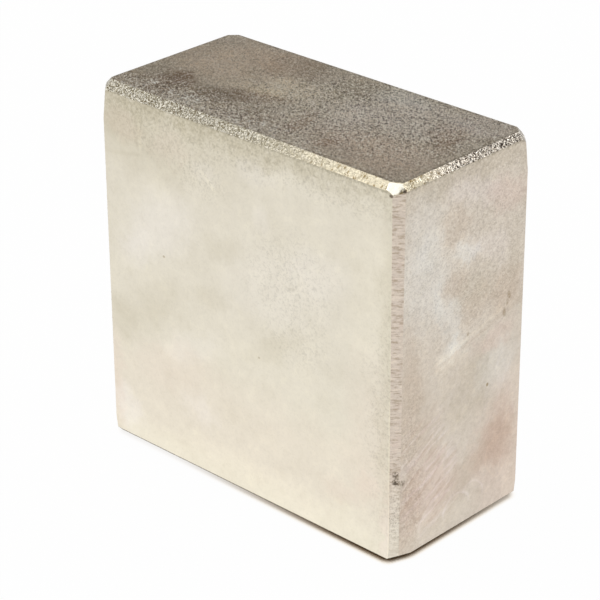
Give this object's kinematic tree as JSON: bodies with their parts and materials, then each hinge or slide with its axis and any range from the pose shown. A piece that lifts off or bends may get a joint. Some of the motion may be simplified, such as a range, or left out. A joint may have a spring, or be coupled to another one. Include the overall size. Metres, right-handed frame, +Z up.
{
  "type": "block magnet",
  "caption": "Plated rectangular block magnet with ground edge chamfers, worn corners and flat pole faces, standing on its narrow side.",
  "frame": {"origin": "centre of the narrow base that the block stands on, at the height of the surface", "axes": "+X along the width of the pole faces, +Y from the front pole face to the back one, +Z up"},
  "size_m": [0.05, 0.024, 0.05],
  "materials": {
    "nickel_plating": "satin nickel plating over a ground sintered block, cloudy on the faces and grainy along the edges"
  },
  "bodies": {
    "root": {"magnet_block": "nickel_plating"}
  },
  "joints": []
}
